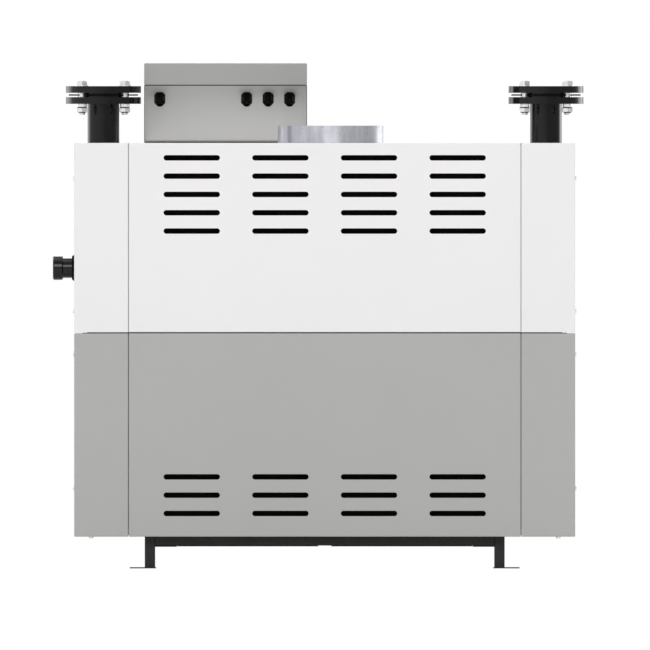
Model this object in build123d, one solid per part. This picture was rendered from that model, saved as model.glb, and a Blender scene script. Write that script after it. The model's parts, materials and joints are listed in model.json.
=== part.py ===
from build123d import *
import os
from math import atan2, cos, degrees, hypot, radians

# A floor-standing boiler in a sheet metal casing on a tube frame. Millimetres, +Z up.
# The service side faces -Y. The origin is on the floor, midway between the four anchor holes.

# Casing
casing_width = 1200.0
casing_depth = 700.0
casing_height = 943.0
ground_clearance = 76.0
sheet = 1.5
bend_radius = 2.5
return_width = 20.0
side_cover_width = 129.4
seam = 1.0
lower_cover_height = 487.2
split_gap = 2.4
side_split_gap = 1.3
split_step_width = 31.0
corner_relief = 4.0

# Ventilation slots
slot_length = 135.0
slot_height = 13.0
slot_columns = 4
slot_pitch_across = 212.3
slot_pitch_up = 43.85
upper_slot_rows = 5
upper_slot_edge = 35.6
lower_slot_rows = 3
lower_slot_edge = 55.6

# Inner casing and the angles that carry the panels
rear_air_gap = 25.0
header_height = 32.5
angle_thickness = 2.0
angle_height = 25.0
bar_joint = 0.5
flue_well_depth = 160.0
flue_ledge = 5.0

# Base frame of square tube
frame_side_inset = 169.0
tube = 25.0
tube_wall = 2.0
tube_corner = 2.5
cross_rail_width = 50.0
skirt = 3.7
floor_flange = 15.0
foot_thickness = 3.0
foot_length = 63.5
foot_width = 50.0
foot_inset = 2.5
foot_corner = 4.0
anchor_hole = 12.0
anchor_edge = 18.0
tray_thickness = 2.0
tray_gap = 32.0
corner_plate_thickness = 3.0
corner_plate_reach = 77.0
plate_clearance = 1.0

# Flue collar
flue_outer = 253.0
flue_wall = 1.5
flue_x = 14.0
flue_rear_inset = 210.0
flue_rise = 41.4
flue_lap_width = 9.0
flue_lap_thickness = 1.2
flue_lap_angle = 219.9
top_hole_clearance = 2.0

# Flow and return connections
riser_side_inset = 70.0
riser_rear_inset = 350.0
riser_outer = 76.1
riser_wall = 3.2
riser_rise = 93.6
flange_diameter = 180.0
flange_thickness = 16.2
bolt_edge = 17.5
bolt_count = 4
bolt_hole = 18.0
raised_face = 3.3
raised_face_margin = 2.5
gasket_thickness = 3.5
gasket_rim = 10.5
gasket_bore_margin = 3.0
gasket_bolt_hole = 17.0
pipe_weld_clearance = 0.7

# Gas connection on the left side
gas_height = 719.8
gas_rear_inset = 150.0
gas_pipe_outer = 48.3
gas_pipe_wall = 3.2
gas_pipe_reach = 26.8
coupling_length = 24.2
coupling_step = 4.85
coupling_chamfer = 2.5
thread_depth = 1.725
grommet_wall = 2.85
grommet_brim = 4.5
grommet_taper = 3.5
grommet_height = 5.5
grommet_lip = 2.0
grommet_clearance = 0.15

# Control box
console_side_inset = 167.7
console_front_inset = 28.0
console_width = 389.9
console_height = 191.0
console_sheet = 1.5
console_lid_height = 51.4
console_lid_depth = 262.0
console_rear_lean = 195.0
console_front_lean = 60.0
console_seam = 1.2
console_base_inset = 1.0
console_wall_bend = 1.2
console_upstand = 30.0

# Cable glands on the rear wall of the control box
gland_left_inset = 37.3
gland_right_inset = 41.6
gland_pitch = 51.5
gland_group = 3
gland_drop = 21.7
gland_hex = 23.0
gland_body_height = 7.0
gland_neck = 19.0
gland_neck_height = 1.5
gland_nut_height = 15.5
gland_nose = 16.5
gland_nose_height = 5.0
gland_hole = 9.6
gland_hole_depth = 6.0

# Levels and faces worked out from the sizes above
casing_bottom = ground_clearance
casing_top = casing_bottom + casing_height
split_low = casing_bottom + lower_cover_height
rail_top = casing_bottom + skirt
rail_bottom = rail_top - tube
floor_top = rail_top + sheet
half_width = casing_width / 2
half_depth = casing_depth / 2
inner_half_width = half_width - return_width
inner_half_depth = half_depth - return_width - rear_air_gap
inner_top = casing_top - sheet - header_height
frame_half_width = half_width - frame_side_inset
frame_half_depth = inner_half_depth
flue_y = -half_depth + flue_rear_inset
riser_x = half_width - riser_side_inset
riser_y = -half_depth + riser_rear_inset


os.makedirs("parts", exist_ok=True)


def block(x, y, z):
    """A box from its low and high value along each axis."""
    corner = Pos(x[0], y[0], z[0])
    return corner * Box(x[1] - x[0], y[1] - y[0], z[1] - z[0], align=(Align.MIN,) * 3)


def ring(outer, inner, low, high):
    """A round tube about the Z axis, from its two diameters and two heights."""
    section = Circle(outer / 2) - Circle(inner / 2)
    return Pos(0, 0, low) * extrude(section, high - low)


def rod(diameter, low, high):
    """A round bar about the Z axis."""
    return Pos(0, 0, low) * extrude(Circle(diameter / 2), high - low)


def square_tube(width, height, length):
    """A hollow rectangular tube along X, centred on the origin."""
    outer = RectangleRounded(width, height, tube_corner)
    inner = Rectangle(width - 2 * tube_wall, height - 2 * tube_wall)
    return Plane.YZ.offset(-length / 2) * extrude(outer - inner, length)


def both_sides(piece):
    """The piece and its mirror image across the middle, left to right."""
    return [piece, mirror(piece, Plane.YZ)]


def both_ends(pieces):
    """The pieces and their mirror images across the middle, front to rear."""
    return pieces + [mirror(piece, Plane.XZ) for piece in pieces]


def save(name, pieces):
    """Write one node, of one or more solids, to its file."""
    pieces = pieces if isinstance(pieces, list) else [pieces]
    shape = pieces[0] if len(pieces) == 1 else Compound(children=pieces)
    export_step(shape, f"parts/{name}.step")


# Base frame

def leg():
    upright = Rot(0, 90, 0) * square_tube(tube, tube, rail_top - foot_thickness)
    middle = (rail_top + foot_thickness) / 2
    return Pos(frame_half_width - tube / 2, frame_half_depth - tube / 2, middle) * upright


def foot_plate():
    inner = frame_half_width - tube - foot_inset
    middle = frame_half_depth - tube / 2
    outline = RectangleRounded(foot_length, foot_width, foot_corner)
    anchor = Pos(foot_length / 2 - anchor_edge, 0) * Circle(anchor_hole / 2)
    return Pos(inner + foot_length / 2, middle, 0) * extrude(outline - anchor, foot_thickness)


def rail_across(sign):
    rail = square_tube(tube, tube, 2 * (frame_half_width - tube))
    return Pos(0, sign * (frame_half_depth - tube / 2), rail_top - tube / 2) * rail


def rail_along(sign):
    rail = Rot(0, 0, 90) * square_tube(tube, tube, 2 * (frame_half_depth - tube))
    return Pos(sign * (frame_half_width - tube / 2), 0, rail_top - tube / 2) * rail


def cross_rail():
    rail = Rot(0, 0, 90) * square_tube(cross_rail_width, tube, 2 * (frame_half_depth - tube))
    return Pos(0, 0, rail_top - tube / 2) * rail


def corner_plate():
    """A gusset under the rails, cut round the leg and across its inner corner."""
    far_x, far_y = frame_half_width, frame_half_depth
    near_x, near_y = far_x - corner_plate_reach, far_y - corner_plate_reach
    outline = Polyline(
        (near_x, far_y),
        (far_x - tube, far_y),
        (far_x - tube, far_y - tube),
        (far_x, far_y - tube),
        (far_x, near_y),
        (far_x - tube, near_y),
        (near_x, far_y - tube),
        close=True,
    )
    return Pos(0, 0, rail_bottom - corner_plate_thickness) * extrude(
        make_face(outline), corner_plate_thickness
    )


def bottom_tray():
    outer = frame_half_width - corner_plate_reach - plate_clearance
    return block(
        (tray_gap / 2, outer),
        (-frame_half_depth, frame_half_depth),
        (rail_bottom - tray_thickness, rail_bottom),
    )


def floor_panel():
    """A shallow tray that stands on the frame and locates the covers."""
    half_x, half_y = half_width - sheet, half_depth - return_width
    outer = block((-half_x, half_x), (-half_y, half_y), (rail_top, rail_top + floor_flange))
    inner = block(
        (-half_x + sheet, half_x - sheet),
        (-half_y + sheet, half_y - sheet),
        (floor_top, rail_top + floor_flange),
    )
    return outer - inner


save("foot_plates", both_ends(both_sides(foot_plate())))
save("frame_legs", both_ends(both_sides(leg())))
save("frame_rail_rear", rail_across(-1))
save("frame_rail_front", rail_across(1))
save("frame_rail_left", rail_along(-1))
save("frame_rail_right", rail_along(1))
save("frame_cross_rail", cross_rail())
save("corner_plates", both_ends(both_sides(corner_plate())))
save("bottom_tray_right", bottom_tray())
save("bottom_tray_left", mirror(bottom_tray(), Plane.YZ))
save("floor_panel", floor_panel())


# Inner casing and panel carriers

def inner_casing():
    body = block(
        (-inner_half_width, inner_half_width),
        (-inner_half_depth, inner_half_depth),
        (floor_top, inner_top),
    )
    well_bore = flue_outer - 2 * (flue_wall + flue_ledge)
    well = Pos(flue_x, flue_y) * rod(well_bore, inner_top - flue_well_depth, inner_top)
    return body - well


def seam_angle():
    """The rear angle behind the split between upper and lower covers."""
    low = split_low + split_gap / 2 - angle_height / 2
    outer = -half_depth + return_width
    span = (-inner_half_width, inner_half_width)
    upright = block(span, (outer, outer + angle_thickness), (low, low + angle_height))
    web = block(span, (outer, -inner_half_depth), (low, low + angle_thickness))
    return upright + web


def header_angle_across():
    """The rear angle that the top panel and the covers' top edges rest on."""
    reach = half_depth - sheet
    span = half_width - sheet
    inner = inner_half_depth - angle_thickness
    high = casing_top - sheet
    shelf = block((-span, span), (-reach, -inner), (high - angle_thickness, high))
    upright_span = (-inner_half_width, inner_half_width)
    return shelf + block(upright_span, (-inner_half_depth, -inner), (inner_top, high))


def header_angle_along():
    """The right-hand angle between the rear and front ones."""
    reach = half_width - sheet
    inner = inner_half_width - angle_thickness
    end = inner_half_depth - angle_thickness - bar_joint
    high = casing_top - sheet
    shelf = block((inner, reach), (-end, end), (high - angle_thickness, high))
    return shelf + block((inner, inner_half_width), (-end, end), (inner_top, high))


save("inner_casing", inner_casing())
save("seam_angles", both_ends([seam_angle()]))
save("header_angles", both_ends([header_angle_across()]) + both_sides(header_angle_along()))


# Covers and panels

def slot_cutters(rows, first_height, step):
    """Obround cutters for one grid of slots in the rear panel."""
    cutters = []
    first_x = -slot_pitch_across * (slot_columns - 1) / 2
    for row in range(rows):
        for column in range(slot_columns):
            centre = Pos(first_x + column * slot_pitch_across, 0, first_height + row * step)
            outline = Plane.XZ * SlotOverall(slot_length, slot_height)
            cutters.append(centre * extrude(outline, casing_depth))
    return cutters


def folded_panel(low, high, cutters):
    """A rear panel with all four edges folded back, slotted."""
    width = casing_width - 2 * side_cover_width - 2 * seam
    face_y = -half_depth
    outer = block((-width / 2, width / 2), (face_y, face_y + return_width), (low, high))
    outer = fillet(outer.faces().sort_by(Axis.Y)[0].edges(), bend_radius)
    hollow = block(
        (-width / 2 + sheet, width / 2 - sheet),
        (face_y + sheet, face_y + return_width),
        (low + sheet, high - sheet),
    )
    relief = block(
        (-width / 2, width / 2),
        (face_y + sheet, face_y + return_width),
        (high - sheet - corner_relief, high - sheet),
    )
    return outer - hollow - relief - cutters


def side_cover(low, high, open_edge):
    """A right-hand cover that wraps round both corners, with its edges folded inwards.

    open_edge is 0 where the lower edge is folded, or the height of the step in a
    plain lower edge.
    """
    inner_x = half_width - side_cover_width
    hollow_low = low if open_edge else low + sheet
    outer = block((inner_x, half_width), (-half_depth, half_depth), (low, high))
    bent = [edge for edge in outer.edges() if not open_edge or edge.center().Z > low + sheet]
    hollow = block(
        (inner_x + sheet, half_width - sheet),
        (-half_depth + sheet, half_depth - sheet),
        (hollow_low, high - sheet),
    )
    lip_x = half_width - return_width
    lip_y = half_depth - return_width
    relief_y = half_depth - sheet
    doorway = block((inner_x, inner_x + sheet), (-lip_y, lip_y), (low, high))
    top_window = block((inner_x, lip_x), (-lip_y, lip_y), (high - sheet, high))
    relief = block(
        (inner_x, inner_x + sheet), (-relief_y, relief_y), (high - sheet - corner_relief, high - sheet)
    )
    cuts = [hollow, doorway, top_window, relief]
    if open_edge:
        step_x = half_width - split_step_width
        cuts.append(block((inner_x, step_x), (-half_depth, half_depth), (low, low + open_edge)))
    else:
        cuts.append(block((inner_x, lip_x), (-lip_y, lip_y), (low, low + sheet)))
    return fillet(bent, bend_radius) - cuts


def top_panel():
    half_x = half_width - return_width - seam
    half_y = half_depth - return_width - seam
    low = casing_top - sheet
    plate = block((-half_x, half_x), (-half_y, half_y), (low, casing_top))
    riser_hole = riser_outer + 2 * top_hole_clearance
    flue_hole = flue_outer + 2 * flue_lap_thickness + 2 * top_hole_clearance
    holes = [Pos(flue_x, flue_y) * rod(flue_hole, low, casing_top)]
    holes += both_sides(Pos(riser_x, riser_y) * rod(riser_hole, low, casing_top))
    return plate - holes


upper_low = split_low + split_gap
upper_side_low = split_low + side_split_gap
lower_cutters = slot_cutters(lower_slot_rows, casing_bottom + lower_slot_edge, slot_pitch_up)
upper_cutters = slot_cutters(upper_slot_rows, casing_top - upper_slot_edge, -slot_pitch_up)
lower_panel = folded_panel(casing_bottom, split_low, lower_cutters)
upper_panel = folded_panel(upper_low, casing_top, upper_cutters)
lower_cover = side_cover(casing_bottom, split_low, 0)
upper_cover = side_cover(upper_side_low, casing_top, split_gap - side_split_gap)
gas_y = -half_depth + gas_rear_inset
gas_axis = Pos(-half_width, gas_y, gas_height) * Rot(0, -90, 0)
grommet_hole = gas_pipe_outer + 2 * grommet_wall
gas_hole = gas_axis * rod(grommet_hole, -return_width, sheet)

save("rear_lower_panel", lower_panel)
save("rear_upper_panel", upper_panel)
save("front_lower_panel", mirror(lower_panel, Plane.XZ))
save("front_upper_panel", mirror(upper_panel, Plane.XZ))
save("right_lower_cover", lower_cover)
save("right_upper_cover", upper_cover)
save("left_lower_cover", mirror(lower_cover, Plane.YZ))
save("left_upper_cover", mirror(upper_cover, Plane.YZ) - gas_hole)
save("top_panel", top_panel())


# Flue collar

def flue_collar():
    """A rolled tube with a lapped seam, standing on the inner casing."""
    high = casing_top + flue_rise
    tube_wall_ring = ring(flue_outer, flue_outer - 2 * flue_wall, inner_top, high)
    lap_ring = ring(flue_outer + 2 * flue_lap_thickness, flue_outer - flue_wall, inner_top, high)
    strip = block((0, flue_outer), (-flue_lap_width / 2, flue_lap_width / 2), (inner_top, high))
    lap = lap_ring & (Rot(0, 0, flue_lap_angle) * strip)
    return Pos(flue_x, flue_y) * (tube_wall_ring + lap)


save("flue_collar", flue_collar())


# Flow and return connections

riser_bore = riser_outer - 2 * riser_wall
counter_flange_bore = riser_outer + 2 * pipe_weld_clearance
bolt_circle = flange_diameter / 2 - bolt_edge
raised_face_outer = 2 * (bolt_circle - raised_face_margin) - bolt_hole
flange_low = casing_top + riser_rise
gasket_low = flange_low + flange_thickness + raised_face
counter_face = gasket_low + gasket_thickness
counter_back = counter_face + raised_face + flange_thickness


def bolt_holes(diameter):
    half_step = 180 / bolt_count
    return PolarLocations(bolt_circle, bolt_count, start_angle=half_step) * Circle(diameter / 2)


def flange(bore):
    """A flat flange with its raised face up, standing on the XY plane."""
    outline = Circle(flange_diameter / 2) - Circle(bore / 2) - bolt_holes(bolt_hole)
    plate = extrude(outline, flange_thickness)
    return plate + ring(raised_face_outer, bore, flange_thickness, flange_thickness + raised_face)


def gasket():
    """A flat ring whose bolt holes run out to its rim at the front and rear."""
    bore = counter_flange_bore / 2 + gasket_bore_margin
    outline = Circle(bolt_circle + gasket_rim) - Circle(bore)
    for place in PolarLocations(bolt_circle, bolt_count, start_angle=180 / bolt_count):
        x, y, _ = place.position
        outward = bolt_circle if y > 0 else -bolt_circle
        slot = Rot(0, 0, 90) * SlotCenterToCenter(bolt_circle, gasket_bolt_hole)
        outline -= Pos(x, y + outward / 2) * slot
    return extrude(outline, gasket_thickness)


riser = Pos(riser_x, riser_y) * ring(riser_outer, riser_bore, inner_top, flange_low)
riser_flange = Pos(riser_x, riser_y, flange_low) * flange(riser_bore)
riser_gasket = Pos(riser_x, riser_y, gasket_low) * gasket()
counter_flange = Pos(riser_x, riser_y, counter_back) * Rot(180, 0, 0) * flange(counter_flange_bore)
connection = {
    "riser": riser,
    "riser_flange": riser_flange,
    "gasket": riser_gasket,
    "counter_flange": counter_flange,
}
for piece_name, piece in connection.items():
    save(f"right_{piece_name}", piece)
    save(f"left_{piece_name}", mirror(piece, Plane.YZ))


# Gas connection

def gas_grommet():
    """A tapered rubber ring outside, a neck through the cover and a lip behind it."""
    inner = gas_pipe_outer / 2 + grommet_clearance
    hole = grommet_hole / 2
    neck = hole - grommet_clearance
    outline = Polyline(
        (inner, -sheet - grommet_lip),
        (hole + grommet_lip, -sheet - grommet_lip),
        (hole + grommet_lip, -sheet),
        (neck, -sheet),
        (neck, 0),
        (hole + grommet_brim, 0),
        (hole + grommet_brim - grommet_taper, grommet_height),
        (inner, grommet_height),
        close=True,
    )
    return gas_axis * revolve(Plane.XZ * make_face(outline), Axis.Z)


gas_pipe_start = inner_half_width - half_width
gas_pipe = ring(gas_pipe_outer, gas_pipe_outer - 2 * gas_pipe_wall, gas_pipe_start, gas_pipe_reach)
coupling_outer = gas_pipe_outer + 2 * coupling_step
coupling_bore = gas_pipe_outer - 2 * thread_depth
coupling = ring(coupling_outer, coupling_bore, gas_pipe_reach, gas_pipe_reach + coupling_length)
coupling_rims = coupling.edges().filter_by(GeomType.CIRCLE).group_by(SortBy.RADIUS)[-1]

save("gas_grommet", gas_grommet())
save("gas_pipe", gas_axis * gas_pipe)
save("gas_coupling", gas_axis * chamfer(coupling_rims, coupling_chamfer))


# Control box

console_left = -half_width + console_side_inset
console_right = console_left + console_width
console_inside = (console_left + console_sheet, console_right - console_sheet)
wall_low = casing_top + console_sheet
lid_low = casing_top + console_height - console_lid_height
deck_high = lid_low - console_seam
wall_high = deck_high - console_sheet
foot_front = half_depth - console_front_inset
lid_front = foot_front - console_front_lean
lid_rear = lid_front - console_lid_depth
foot_rear = lid_rear + console_rear_lean
wall_rise = wall_high - wall_low


def across_console(points, span):
    """A piece of the control box with one outline in the YZ plane, from left to right."""
    face = Plane.YZ * make_face(Polyline(*points, close=True))
    return Pos(span[0], 0, 0) * extrude(face, span[1] - span[0])


def leaning_wall(foot_y, top_y, inward):
    """A sheet of even thickness between the cheeks, from its outer line."""
    level_thickness = inward * console_sheet * hypot(top_y - foot_y, wall_rise) / wall_rise
    points = (
        (foot_y, wall_low),
        (foot_y + level_thickness, wall_low),
        (top_y + level_thickness, wall_high),
        (top_y, wall_high),
    )
    wall = across_console(points, console_inside)
    outer_face = wall.faces().sort_by(Axis.Y)[0 if inward > 0 else -1]
    ends = outer_face.edges().filter_by(Axis.X, reverse=True)
    return fillet(ends, console_wall_bend)


def cheek(span):
    points = (
        (foot_rear, wall_low),
        (foot_front, wall_low),
        (lid_front, wall_high),
        (lid_rear, wall_high),
    )
    return across_console(points, span)


def console_base():
    return block(
        (console_left + console_base_inset, console_right - console_base_inset),
        (foot_rear + console_base_inset, foot_front - console_base_inset),
        (casing_top, wall_low),
    )


def console_deck():
    """The plate over the walls, with the upstand that the lid fits over."""
    plate = block((console_left, console_right), (lid_rear, lid_front), (wall_high, deck_high))
    step = console_sheet
    outer = block(
        console_inside,
        (lid_rear + step, lid_front - step),
        (deck_high, deck_high + console_upstand),
    )
    inner = block(
        (console_inside[0] + step, console_inside[1] - step),
        (lid_rear + 2 * step, lid_front - 2 * step),
        (deck_high, deck_high + console_upstand),
    )
    return plate + (outer - inner)


def console_lid():
    high = casing_top + console_height
    outer = block((console_left, console_right), (lid_rear, lid_front), (lid_low, high))
    rounded = [edge for edge in outer.edges() if edge.center().Z > lid_low + console_sheet]
    outer = fillet(rounded, bend_radius)
    hollow = block(
        console_inside,
        (lid_rear + console_sheet, lid_front - console_sheet),
        (lid_low, high - console_sheet),
    )
    return outer - hollow


save("control_box_base", console_base())
save("control_box_rear_wall", leaning_wall(foot_rear, lid_rear, 1))
save("control_box_fascia", leaning_wall(foot_front, lid_front, -1))
save("control_box_left_cheek", cheek((console_left, console_inside[0])))
save("control_box_right_cheek", cheek((console_inside[1], console_right)))
save("control_box_deck", console_deck())
save("control_box_lid", console_lid())


# Cable glands

def cable_gland():
    """Hexagon body, neck, hexagon nut and tapered nose with its cable hole, along +Z."""
    across_corners = gland_hex / cos(radians(30))
    hexagon = RegularPolygon(across_corners / 2, 6)
    neck_high = gland_body_height + gland_neck_height
    nut_high = neck_high + gland_nut_height
    nose_high = nut_high + gland_nose_height
    body = extrude(hexagon, gland_body_height)
    neck = rod(gland_neck, gland_body_height, neck_high)
    nut = Pos(0, 0, neck_high) * extrude(hexagon, gland_nut_height)
    taper = Cone(
        gland_hex / 2, gland_nose / 2, gland_nose_height, align=(Align.CENTER, Align.CENTER, Align.MIN)
    )
    hole = rod(gland_hole, nose_high - gland_hole_depth, nose_high)
    return body + neck + nut + Pos(0, 0, nut_high) * taper - hole


wall_angle = degrees(atan2(console_rear_lean, wall_rise))
gland_y = lid_rear + console_rear_lean * gland_drop / wall_rise
gland_places = [console_left + gland_left_inset]
gland_places += [console_right - gland_right_inset - step * gland_pitch for step in range(gland_group)]
glands = [
    Pos(place, gland_y, wall_high - gland_drop) * Rot(90 + wall_angle, 0, 0) * cable_gland()
    for place in gland_places
]
save("cable_glands", glands)
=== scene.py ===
import json
from math import cos, pi, radians, sin, tan

import bpy
from mathutils import Matrix, Vector


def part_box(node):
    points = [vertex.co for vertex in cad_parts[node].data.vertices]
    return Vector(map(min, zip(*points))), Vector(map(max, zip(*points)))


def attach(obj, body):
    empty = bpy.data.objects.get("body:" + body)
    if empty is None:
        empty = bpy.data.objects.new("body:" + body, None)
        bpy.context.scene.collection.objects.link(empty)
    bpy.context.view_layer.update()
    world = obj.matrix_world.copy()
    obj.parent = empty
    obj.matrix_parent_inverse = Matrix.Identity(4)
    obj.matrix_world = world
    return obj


# Flange bolts, in metres: four M16 bolts on the circle of a DN65 flange
BOLT_CIRCLE = 0.145
BOLT_COUNT = 4
BOLT_TURN_DEGREES = 3.0
SHANK_OVERLAP = 0.004
THREAD = 0.016
THREAD_PITCH = 0.002
THREAD_DEPTH = 0.54 * THREAD_PITCH
TIP_LENGTH = 0.0066
TIP_CHAMFER = TIP_LENGTH * 0.2
TIP_RADIUS = THREAD / 2 * 0.74

# Heads and nuts of the flange bolts
HEX = 0.024
HEX_CROWN = HEX / 2 * 0.96
HEX_BEVEL = radians(30)
HEAD_HEIGHT = 0.0112
NUT_HEIGHT = 0.0098

# Washers of the flange bolts, and the lock collar above each nut
WASHER = 0.0019
WASHER_OUTER = 0.0300
WASHER_BEVEL = WASHER * 0.2
LOCK_HEIGHT = 0.0082
LOCK_RADIUS = HEX / 2 * 0.96
LOCK_LOW_RADIUS = HEX / 2 * 0.86
LOCK_TAPER = LOCK_HEIGHT * 0.25
# A blackened spring washer whose dark band also serves as painted shade, and under each nut a dark ring
# that is painted shade for the nut's lower bevel
SPRING_WASHER = 0.0015
SPRING_RADIUS = HEX / 2 * 0.98
END_SHADE_RING = SPRING_WASHER * 0.8
END_SHADE_RING_RADIUS = HEX / 2 * 0.94
END_SHADE_RING_LOW_RADIUS = HEX / 2 * 0.84

# Screws that hold the covers
SCREW_HEAD = 0.0120
SCREW_HEIGHT = 0.0040
SCREW_SOCKET = 0.0040
SCREW_RIM = 0.12
SCREW_FLAT = 0.52
SCREW_ARC_STEPS = 7
SOCKET_FLOOR = 0.4
SIDE_SCREW_LEVELS = (0.935, 0.617, 0.514, 0.193)
SIDE_SCREW_EDGE = 0.026
UNDER_SCREW_X = 0.560
UNDER_SCREW_EDGE = 0.010

# Turned shapes, and the angle from which an edge is sharp
ROUND_STEPS = 48
SHARP_DEGREES = 32

# The painted shade along the lap seam of the flue collar
LAP_ANGLE = radians(218.6)
LAP_SHADE_REACH = 0.006
LAP_SHADE_FADE = 0.002

# Colours of the paints and plastics
WHITE_COAT = (0.850, 0.838, 0.845)
GREY_COAT = (0.425, 0.425, 0.416)
# The control box's grey is the grey paint darkened as painted shade
CONSOLE_PAINTED_SHADE_GREY = (0.370, 0.370, 0.360)
FRAME_BLACK = (0.013, 0.013, 0.014)
INNER_BLACK = (0.006, 0.006, 0.006)
CHEEK_BLACK = (0.03, 0.03, 0.032)
PIPE_BLACK = (0.003, 0.003, 0.0034)
# Dark of the spring washer and of the ring under each nut: blackened steel and painted shade
RING_BLACK_AND_PAINTED_SHADE = (0.012, 0.012, 0.013)
RUBBER_BLACK = (0.004, 0.004, 0.004)
NYLON_BLACK = (0.0022, 0.0022, 0.0025)
DUST = (0.34, 0.33, 0.31)

# Colours of the zinc, most of them as a darker and a lighter tone
DULL_SHEET = ((0.43, 0.43, 0.485), (0.61, 0.61, 0.67))
BRIGHT_SHEET = ((0.58, 0.58, 0.635), (0.75, 0.75, 0.80))
SHEET_SPECK = (0.24, 0.24, 0.27)
# Painted shade in a strip along the collar's lap seam
LAP_PAINTED_SHADE = (0.36, 0.36, 0.405)
PLATING = ((0.86, 0.865, 0.89), (0.94, 0.945, 0.97))

# The studio
FLOOR_SIZE = 120.0
FLOOR_PAINT = ((0.88, 0.88, 0.88), (0.90, 0.90, 0.90))
WHITE_LIGHT = (1.0, 1.0, 1.0, 1.0)
WORLD_STRENGTH = 0.75
BACKDROP_STRENGTH = 1.0
AIM = (0.0, 0.0, 0.8)

# The camera's frame
METRES_PER_PIXEL = 0.002395
FRAME_PIXELS = 650
CAMERA_X = 0.0007
CAMERA_Z = 0.583
CAMERA_DISTANCE = 8.0
CAMERA_REACH = 200.0

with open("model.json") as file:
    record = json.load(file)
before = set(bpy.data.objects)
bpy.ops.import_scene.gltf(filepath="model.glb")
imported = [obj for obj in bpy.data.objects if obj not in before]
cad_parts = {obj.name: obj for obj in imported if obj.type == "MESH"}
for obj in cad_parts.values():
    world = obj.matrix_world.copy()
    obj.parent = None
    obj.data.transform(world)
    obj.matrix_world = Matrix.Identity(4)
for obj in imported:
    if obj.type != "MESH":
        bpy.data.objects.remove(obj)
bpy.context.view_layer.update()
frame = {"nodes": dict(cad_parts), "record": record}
nodes = frame["nodes"]


# Materials

def map_range(tree, output, start, end, low, high):
    """Map start to end of a node's output onto low to high, and hold the ends."""
    node = tree.nodes.new("ShaderNodeMapRange")
    node.inputs["From Min"].default_value = start
    node.inputs["From Max"].default_value = end
    node.inputs["To Min"].default_value = low
    node.inputs["To Max"].default_value = high
    tree.links.new(output, node.inputs["Value"])
    return node.outputs["Result"]


class Finish:
    """One procedural material, built node by node round its Principled shader."""

    def __init__(self, name, metallic=0.0, specular=0.5):
        self.material = bpy.data.materials.new(name)
        self.material.use_nodes = True
        self.tree = self.material.node_tree
        self.shader = self.tree.nodes["Principled BSDF"]
        self.shader.inputs["Metallic"].default_value = metallic
        self.shader.inputs["Specular IOR Level"].default_value = specular
        self.coords = self.tree.nodes.new("ShaderNodeTexCoord").outputs["Object"]

    def link(self, output, socket):
        self.tree.links.new(output, socket)

    def scaled(self, scale):
        """The object's own coordinates, scaled along each axis."""
        mapping = self.tree.nodes.new("ShaderNodeMapping")
        mapping.inputs["Scale"].default_value = scale
        self.link(self.coords, mapping.inputs["Vector"])
        return mapping.outputs["Vector"]

    def noise(self, scale, detail=2.0, roughness=0.5, stretch=(1.0, 1.0, 1.0)):
        node = self.tree.nodes.new("ShaderNodeTexNoise")
        node.inputs["Scale"].default_value = scale
        node.inputs["Detail"].default_value = detail
        node.inputs["Roughness"].default_value = roughness
        self.link(self.scaled(stretch), node.inputs["Vector"])
        return node.outputs["Fac"]

    def near(self, spot, reach, fade):
        """1 within reach of an upright line through the spot, and 0 beyond the fade."""
        distance = self.tree.nodes.new("ShaderNodeVectorMath")
        distance.operation = "DISTANCE"
        distance.inputs[1].default_value = (*spot, 0.0)
        self.link(self.scaled((1.0, 1.0, 0.0)), distance.inputs[0])
        return self.spread(distance.outputs["Value"], 1.0, 0.0, start=reach, end=reach + fade)

    def spread(self, output, low=0.0, high=1.0, start=0.3, end=0.7):
        """Spread the middle of a noise, where most of it lies, over low to high."""
        return map_range(self.tree, output, start, end, low, high)

    def blend(self, factor, first, second):
        """Mix two colours, each given as numbers or as a node's output."""
        node = self.tree.nodes.new("ShaderNodeMix")
        node.data_type = "RGBA"
        sockets = [s for s in node.inputs if s.type == "RGBA"]
        for socket, value in zip(sockets, (first, second)):
            if isinstance(value, bpy.types.NodeSocket):
                self.link(value, socket)
            else:
                socket.default_value = (*value, 1.0)
        self.link(factor, node.inputs["Factor"])
        return next(s for s in node.outputs if s.type == "RGBA")

    def colour(self, output):
        self.link(output, self.shader.inputs["Base Color"])

    def roughness(self, output):
        self.link(output, self.shader.inputs["Roughness"])

    def bump(self, height, strength, distance):
        node = self.tree.nodes.new("ShaderNodeBump")
        node.inputs["Strength"].default_value = strength
        node.inputs["Distance"].default_value = distance
        self.link(height, node.inputs["Height"])
        self.link(node.outputs["Normal"], self.shader.inputs["Normal"])


def shade(colour, factor):
    return tuple(channel * factor for channel in colour)


def powder_coat(name, colour, roughness):
    """Paint baked on sheet metal: an orange-peel surface with faint changes of tone."""
    finish = Finish(name)
    tone = finish.spread(finish.noise(scale=2.3, detail=4.0))
    grain = finish.spread(finish.noise(scale=420.0))
    broad = finish.blend(tone, shade(colour, 0.985), shade(colour, 1.01))
    fine = finish.blend(tone, shade(colour, 0.965), shade(colour, 0.99))
    finish.colour(finish.blend(grain, fine, broad))
    rub = finish.noise(scale=9.0, detail=5.0, roughness=0.6)
    finish.roughness(finish.spread(rub, low=roughness * 0.92, high=roughness * 1.1))
    finish.bump(finish.noise(scale=500.0), strength=0.5, distance=0.00002)
    return finish.material


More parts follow.
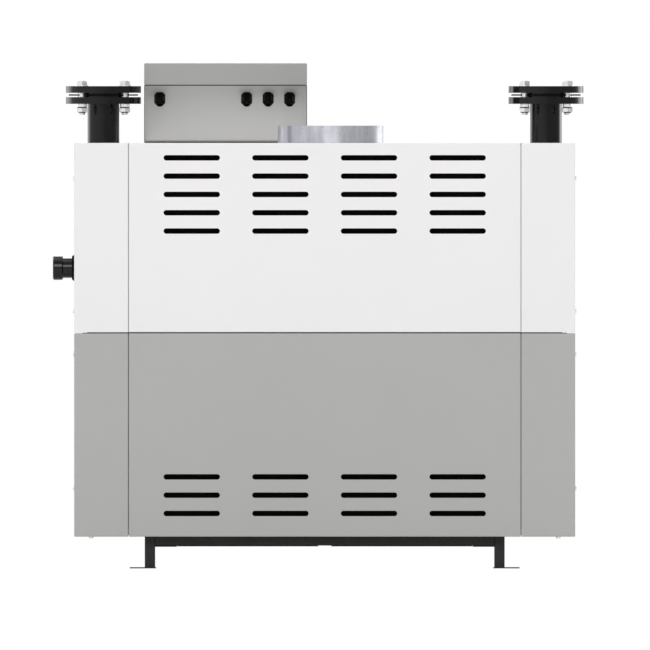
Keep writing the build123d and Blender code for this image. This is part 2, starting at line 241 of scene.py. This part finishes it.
def gloss_paint(name, colour, roughness, specular, dust=0.0):
    """Brushed-on paint over steel with slight waviness and a trace of dust."""
    finish = Finish(name, specular=specular)
    tone = finish.spread(finish.noise(scale=14.0, detail=5.0, roughness=0.6))
    clean = finish.blend(tone, shade(colour, 0.8), shade(colour, 1.2))
    dirt = finish.noise(scale=260.0, detail=4.0, roughness=0.7)
    specks = finish.spread(dirt, high=dust, start=0.5)
    finish.colour(finish.blend(specks, clean, DUST))
    rub = finish.noise(scale=30.0, detail=6.0, roughness=0.65)
    finish.roughness(finish.spread(rub, low=roughness * 0.8, high=roughness * 1.25))
    finish.bump(finish.noise(scale=160.0, detail=4.0), strength=0.3, distance=0.00005)
    return finish.material


def galvanised(name, lap=None):
    """Zinc-coated sheet: upright streaks, cloudy patches, dark specks and, on the collar, painted shade
    along the lap.
    """
    finish = Finish(name, metallic=0.85)
    fine_noise = finish.noise(scale=70.0, detail=5.0, roughness=0.6, stretch=(1.0, 1.0, 0.12))
    streak = finish.spread(fine_noise)
    cloud = finish.spread(finish.noise(scale=24.0, detail=5.0, roughness=0.65))
    band_noise = finish.noise(scale=15.0, detail=3.0, stretch=(1.0, 1.0, 0.05))
    band = finish.spread(band_noise, start=0.4, end=0.56)
    film = finish.blend(streak, *DULL_SHEET)
    bright = finish.blend(streak, *BRIGHT_SHEET)
    patchy = finish.blend(cloud, film, bright)
    sheet = finish.blend(band, film, patchy)
    # Painted shade in a strip along the lap seam
    if lap:
        sheet = finish.blend(finish.near(lap, LAP_SHADE_REACH, LAP_SHADE_FADE), sheet, LAP_PAINTED_SHADE)
    speck_noise = finish.noise(scale=240.0, detail=3.0)
    specks = finish.spread(speck_noise, high=0.8, start=0.64, end=0.74)
    finish.colour(finish.blend(specks, sheet, SHEET_SPECK))
    finish.roughness(finish.spread(cloud, low=0.46, high=0.34, start=0.0, end=1.0))
    finish.bump(finish.noise(scale=350.0, detail=4.0), strength=0.2, distance=0.00002)
    return finish.material


def zinc(name):
    """Bright zinc plating on the fasteners, with fine turning marks and dull patches."""
    finish = Finish(name, metallic=0.9)
    patch = finish.spread(finish.noise(scale=120.0, detail=5.0, roughness=0.65))
    finish.colour(finish.blend(patch, *PLATING))
    finish.roughness(finish.spread(patch, low=0.24, high=0.34, start=0.0, end=1.0))
    finish.bump(finish.noise(scale=900.0, detail=3.0), strength=0.05, distance=0.00001)
    return finish.material


def moulded(name, colour, roughness, specular, grain, strength):
    """Plastic or rubber straight from the mould, with a fine grain."""
    finish = Finish(name, specular=specular)
    tone = finish.spread(finish.noise(scale=60.0, detail=4.0))
    finish.colour(finish.blend(tone, shade(colour, 0.8), shade(colour, 1.25)))
    rub = finish.noise(scale=35.0, detail=4.0)
    finish.roughness(finish.spread(rub, low=roughness * 0.9, high=roughness * 1.1))
    finish.bump(finish.noise(scale=grain, detail=3.0), strength=strength, distance=0.00004)
    return finish.material


finishes = {
    "white_paint": powder_coat("white_powder_coat", WHITE_COAT, roughness=0.42),
    "grey_paint": powder_coat("grey_powder_coat", GREY_COAT, roughness=0.42),
    "frame_paint": gloss_paint(
        "frame_black_paint", FRAME_BLACK, roughness=0.42, specular=0.35, dust=0.02
    ),
    "inner_paint": gloss_paint("inner_matt_paint", INNER_BLACK, roughness=0.75, specular=0.15),
    "cheek_paint": gloss_paint("cheek_dark_paint", CHEEK_BLACK, roughness=0.45, specular=0.4),
    "pipe_paint": gloss_paint(
        "pipe_gloss_paint", PIPE_BLACK, roughness=0.15, specular=0.34, dust=0.003
    ),
    "galvanised_sheet": galvanised("galvanised_sheet"),
    "gasket_rubber": moulded(
        "gasket_rubber", RUBBER_BLACK, roughness=0.7, specular=0.05, grain=900.0, strength=0.5
    ),
    "gland_plastic": moulded(
        "gland_nylon", NYLON_BLACK, roughness=0.42, specular=0.06, grain=1200.0, strength=0.3
    ),
}
# The control box's lid and fascia: the same grey paint, darkened as painted shade
console_painted_shade_finish = powder_coat("control_box_grey_with_painted_shade", CONSOLE_PAINTED_SHADE_GREY, roughness=0.40)
fastener_finish = zinc("zinc_plating")
# Dark finish of the spring washers, partly painted shade, and of the rings under the nuts, which are
# painted shade
blackened_and_shade_finish = gloss_paint("blackened_steel_and_painted_shade", RING_BLACK_AND_PAINTED_SHADE, roughness=0.35, specular=0.4)

collar_low, collar_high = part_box("flue_collar")
collar_centre = (collar_low + collar_high) / 2
collar_radius = (collar_high.x - collar_low.x) / 2
lap_x = collar_centre.x + collar_radius * cos(LAP_ANGLE)
lap_y = collar_centre.y + collar_radius * sin(LAP_ANGLE)

# Nodes that look different from the rest of their slot: the control box's lid and fascia get the grey
# paint darkened as painted shade, and the flue collar gets painted shade along its lap seam
own_finishes = {
    "control_box_lid": console_painted_shade_finish,
    "control_box_fascia": console_painted_shade_finish,
    "flue_collar": galvanised("collar_galvanised_with_painted_lap_shade", lap=(lap_x, lap_y)),
}

for subpart in frame["record"]["subparts"]:
    node, slot = subpart["node"], subpart["material_slot"]
    mesh = nodes[node].data
    mesh.materials.clear()
    mesh.materials.append(own_finishes.get(node, finishes[slot]))


# Small metal pieces, each built about its own Z axis

class Solid:
    """Vertices and faces gathered for one mesh, and the numbers of its dark faces."""

    def __init__(self):
        self.vertices = []
        self.faces = []
        self.dark = []

    def ring(self, points):
        start = len(self.vertices)
        self.vertices += points
        return list(range(start, start + len(points)))

    def join(self, first, second):
        count = len(first)
        for i in range(count):
            j = (i + 1) % count
            self.faces.append((first[i], first[j], second[j], second[i]))

    def cap(self, ring, up=True):
        self.faces.append(tuple(ring if up else reversed(ring)))

    def stacked(self, rings):
        """Join rings from the bottom up and close both ends."""
        for low, high in zip(rings, rings[1:]):
            self.join(low, high)
        self.cap(rings[0], up=False)
        self.cap(rings[-1])

    def turned(self, profile):
        """Turn a list of (radius, height) about the axis, from the bottom up."""
        self.stacked([self.ring(circle(radius, height)) for radius, height in profile])

    def blackened(self, first_face):
        """Give the faces made since first_face the dark finish."""
        self.dark += range(first_face, len(self.faces))


def round_angles():
    return [2 * pi * i / ROUND_STEPS for i in range(ROUND_STEPS)]


def circle(radius, height):
    return [(radius * cos(a), radius * sin(a), height) for a in round_angles()]


def hexagon(across_flats, height):
    """A hexagon with as many points as a circle, so that the two can be joined."""
    sixth = pi / 3
    points = []
    for angle in round_angles():
        offset = (angle + sixth / 2) % sixth - sixth / 2
        radius = across_flats / 2 / cos(offset)
        points.append((radius * cos(angle), radius * sin(angle), height))
    return points


def bevelled_hexagon(height, sign):
    """A nut's hexagon whose corners drop away on a cone from the crown circle."""
    ring = []
    for x, y, _ in hexagon(HEX, 0.0):
        reach = (x * x + y * y) ** 0.5
        drop = max(0.0, reach - HEX_CROWN) * tan(HEX_BEVEL)
        ring.append((x, y, height - sign * drop))
    return ring


def hexagon_block(solid, low, high, bevel_low=True):
    """A nut or bolt head between two heights."""
    rings = []
    if bevel_low:
        rings.append(solid.ring(circle(HEX_CROWN, low)))
        rings.append(solid.ring(bevelled_hexagon(low, sign=-1)))
    else:
        rings.append(solid.ring(hexagon(HEX, low)))
    rings.append(solid.ring(bevelled_hexagon(high, sign=1)))
    rings.append(solid.ring(circle(HEX_CROWN, high)))
    solid.stacked(rings)


def thread(low, high):
    """The ridges of the bolt's thread between two heights, as a profile to turn."""
    root = THREAD / 2 - THREAD_DEPTH
    profile = []
    for turn in range(int((high - low) / THREAD_PITCH)):
        profile.append((root, low + turn * THREAD_PITCH))
        profile.append((THREAD / 2, low + (turn + 0.5) * THREAD_PITCH))
    return profile + [(root, high)]


def place(name, solid, matrix, finish):
    """Make the piece in the row frame and let it ride with the boiler."""
    mesh = bpy.data.meshes.new(name)
    mesh.from_pydata([matrix @ Vector(v) for v in solid.vertices], [], solid.faces)
    mesh.materials.append(finish)
    if solid.dark:
        mesh.materials.append(blackened_and_shade_finish)
        for index in solid.dark:
            mesh.polygons[index].material_index = 1
    piece = bpy.data.objects.new(name, mesh)
    bpy.context.scene.collection.objects.link(piece)
    mesh.shade_smooth()
    mesh.set_sharp_from_angle(angle=radians(SHARP_DEGREES))
    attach(piece, "root")


# Flange bolts

flange_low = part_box("left_riser_flange")[0].z
flange_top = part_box("left_counter_flange")[1].z
lower_plate_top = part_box("left_gasket")[0].z
upper_plate_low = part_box("left_gasket")[1].z


def flange_bolt():
    """Head and washer on the upper flange, plain shank, lock collar, dark spring washer, nut, a dark
    ring of painted shade under the nut, and threaded tip below.
    """
    solid = Solid()
    head_low = flange_top + WASHER
    solid.turned([
        (WASHER_OUTER / 2, flange_top),
        (WASHER_OUTER / 2, head_low - WASHER_BEVEL),
        (WASHER_OUTER / 2 - WASHER_BEVEL, head_low),
    ])
    hexagon_block(solid, head_low, head_low + HEAD_HEIGHT, bevel_low=False)

    lock_low = flange_low - LOCK_HEIGHT
    solid.turned([
        (LOCK_LOW_RADIUS, lock_low),
        (LOCK_RADIUS, lock_low + LOCK_TAPER),
        (LOCK_RADIUS, flange_low),
    ])
    nut_high = lock_low - SPRING_WASHER
    nut_low = nut_high - NUT_HEIGHT
    # The spring washer is blackened steel that also paints the shade line under the lock collar; the
    # ring under the nut is painted shade for the nut's lower bevel
    before = len(solid.faces)
    solid.turned([(SPRING_RADIUS, nut_high), (SPRING_RADIUS, lock_low)])
    solid.turned([(END_SHADE_RING_LOW_RADIUS, nut_low - END_SHADE_RING), (END_SHADE_RING_RADIUS, nut_low)])
    solid.blackened(before)
    hexagon_block(solid, nut_low, nut_high)

    tip_low = nut_low - TIP_LENGTH
    solid.turned([(TIP_RADIUS, tip_low)] + thread(tip_low + TIP_CHAMFER, nut_low))
    solid.turned([
        (THREAD / 2, lower_plate_top - SHANK_OVERLAP),
        (THREAD / 2, upper_plate_low + SHANK_OVERLAP),
    ])
    return solid


bolt = flange_bolt()
middle_bolt = (BOLT_COUNT - 1) / 2
for side in ("left", "right"):
    low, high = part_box(f"{side}_counter_flange")
    centre = (low + high) / 2
    for index in range(BOLT_COUNT):
        angle = 2 * pi * (index + 0.5) / BOLT_COUNT
        offset = Vector((cos(angle), sin(angle), 0.0)) * BOLT_CIRCLE / 2
        spot = Matrix.Translation((centre.x + offset.x, centre.y + offset.y, 0.0))
        turn = Matrix.Rotation(radians(BOLT_TURN_DEGREES * (index - middle_bolt)), 4, "Z")
        name = f"{side}_flange_bolt_{index + 1}"
        place(name, bolt, spot @ turn, fastener_finish)


# Screws of the covers

def button_screw():
    """A low round head with a hexagon socket, standing on the XY plane."""
    solid = Solid()
    outer = SCREW_HEAD / 2
    flat = outer * SCREW_FLAT
    rim_height = SCREW_HEIGHT * SCREW_RIM
    profile = [(outer, 0.0), (outer, rim_height)]
    for step in range(1, SCREW_ARC_STEPS):
        angle = pi / 2 * step / SCREW_ARC_STEPS
        radius = flat + (outer - flat) * cos(angle)
        height = rim_height + (SCREW_HEIGHT - rim_height) * sin(angle)
        profile.append((radius, height))
    profile.append((flat, SCREW_HEIGHT))
    rings = [solid.ring(circle(radius, height)) for radius, height in profile]
    rings.append(solid.ring(hexagon(SCREW_SOCKET, SCREW_HEIGHT)))
    rings.append(solid.ring(hexagon(SCREW_SOCKET, SCREW_HEIGHT * SOCKET_FLOOR)))
    solid.stacked(rings)
    return solid


screw = button_screw()
casing_low, casing_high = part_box("right_upper_cover")
side_x = casing_high.x
end_y = casing_high.y
under_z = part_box("right_lower_cover")[0].z
for side, sign in (("left", -1), ("right", 1)):
    for end, way in (("rear", -1), ("front", 1)):
        for level, height in enumerate(SIDE_SCREW_LEVELS):
            spot = Matrix.Translation((sign * side_x, way * (end_y - SIDE_SCREW_EDGE), height))
            face = spot @ Matrix.Rotation(sign * pi / 2, 4, "Y")
            name = f"{side}_{end}_side_screw_{level + 1}"
            place(name, screw, face, fastener_finish)
        spot = Matrix.Translation((sign * UNDER_SCREW_X, way * (end_y - UNDER_SCREW_EDGE), under_z))
        face = spot @ Matrix.Rotation(pi, 4, "X")
        place(f"{side}_{end}_under_screw", screw, face, fastener_finish)


# Floor

floor_mesh = bpy.data.meshes.new("studio_floor")
half = FLOOR_SIZE / 2
floor_mesh.from_pydata(
    [(-half, -half, 0.0), (half, -half, 0.0), (half, half, 0.0), (-half, half, 0.0)],
    [],
    [(0, 1, 2, 3)],
)
floor = bpy.data.objects.new("studio_floor", floor_mesh)
bpy.context.scene.collection.objects.link(floor)
floor_finish = Finish("studio_floor_paint", specular=0.2)
floor_tone = floor_finish.spread(floor_finish.noise(scale=0.8, detail=3.0))
floor_finish.colour(floor_finish.blend(floor_tone, *FLOOR_PAINT))
floor_finish.shader.inputs["Roughness"].default_value = 0.7
floor_mesh.materials.append(floor_finish.material)


# World: an even white that glossy surfaces see darker to the right of the service side

world = bpy.data.worlds.new("studio")
world.use_nodes = True
bpy.context.scene.world = world
tree = world.node_tree
tree.nodes.clear()
output = tree.nodes.new("ShaderNodeOutputWorld")
path = tree.nodes.new("ShaderNodeLightPath")
direction = tree.nodes.new("ShaderNodeTexCoord")
axes = tree.nodes.new("ShaderNodeSeparateXYZ")
tree.links.new(direction.outputs["Generated"], axes.inputs["Vector"])
across = map_range(tree, axes.outputs["X"], start=-0.55, end=0.2, low=1.0, high=0.35)
depth = map_range(tree, axes.outputs["Y"], start=-0.1, end=0.5, low=0.0, high=1.0)
brighter = tree.nodes.new("ShaderNodeMath")
brighter.operation = "MAXIMUM"
tree.links.new(across, brighter.inputs[0])
tree.links.new(depth, brighter.inputs[1])


def white_background(strength):
    node = tree.nodes.new("ShaderNodeBackground")
    node.inputs["Color"].default_value = WHITE_LIGHT
    node.inputs["Strength"].default_value = strength
    return node


def for_ray(kind, usual, special):
    """The special shader for one kind of ray and the usual one for all others."""
    node = tree.nodes.new("ShaderNodeMixShader")
    tree.links.new(path.outputs[kind], node.inputs[0])
    tree.links.new(usual.outputs[0], node.inputs[1])
    tree.links.new(special.outputs[0], node.inputs[2])
    return node


lit = white_background(WORLD_STRENGTH)
backdrop = white_background(BACKDROP_STRENGTH)
mirrored = white_background(BACKDROP_STRENGTH)
tree.links.new(brighter.outputs[0], mirrored.inputs["Strength"])
surface = for_ray("Is Glossy Ray", lit, mirrored)
surface = for_ray("Is Transmission Ray", surface, backdrop)
surface = for_ray("Is Camera Ray", surface, backdrop)
tree.links.new(surface.outputs[0], output.inputs["Surface"])


# Lamps and camera

def softbox(name, position, target, size, power):
    light = bpy.data.lights.new(name, "AREA")
    light.shape = "RECTANGLE"
    light.size, light.size_y = size
    light.energy = power
    lamp = bpy.data.objects.new(name, light)
    lamp.location = position
    aim = Vector(target) - Vector(position)
    lamp.rotation_euler = aim.to_track_quat("-Z", "Y").to_euler()
    bpy.context.scene.collection.objects.link(lamp)
    return lamp


softbox("front_softbox", position=(0.0, -6.5, 3.4), target=AIM, size=(2.6, 2.6), power=100.0)

# The light that the white top panel throws up under the control box
fill = softbox(
    "overhang_fill",
    position=(-0.237, 0.088, 1.023),
    target=(-0.237, 0.088, 1.2),
    size=(0.384, 0.2),
    power=0.18,
)
fill.visible_camera = False
fill.visible_glossy = False

# Strips that show as highlights along both edges of the pipes and the collar
for side, sign, power in (("left", -1, 26.0), ("right", 1, 50.0)):
    strip = softbox(
        f"{side}_strip",
        position=(sign * 3.2, 2.4, 1.4),
        target=(0.0, 0.0, 1.1),
        size=(2.0, 3.0),
        power=power,
    )
    strip.visible_camera = False
    strip.visible_diffuse = False

softbox("rear_softbox", position=(0.0, 6.5, 3.4), target=AIM, size=(2.6, 2.6), power=95.0)
softbox("top_softbox", position=(0.0, -0.3, 7.0), target=AIM, size=(4.0, 4.0), power=50.0)

camera_data = bpy.data.cameras.new("camera")
camera_data.type = "ORTHO"
camera_data.ortho_scale = METRES_PER_PIXEL * FRAME_PIXELS
camera_data.clip_end = CAMERA_REACH
camera = bpy.data.objects.new("camera", camera_data)
camera.location = (CAMERA_X, -CAMERA_DISTANCE, CAMERA_Z)
camera.rotation_euler = (pi / 2, 0.0, 0.0)
bpy.context.scene.collection.objects.link(camera)
bpy.context.scene.camera = camera

bpy.context.scene.view_settings.view_transform = "Standard"

bpy.context.view_layer.update()
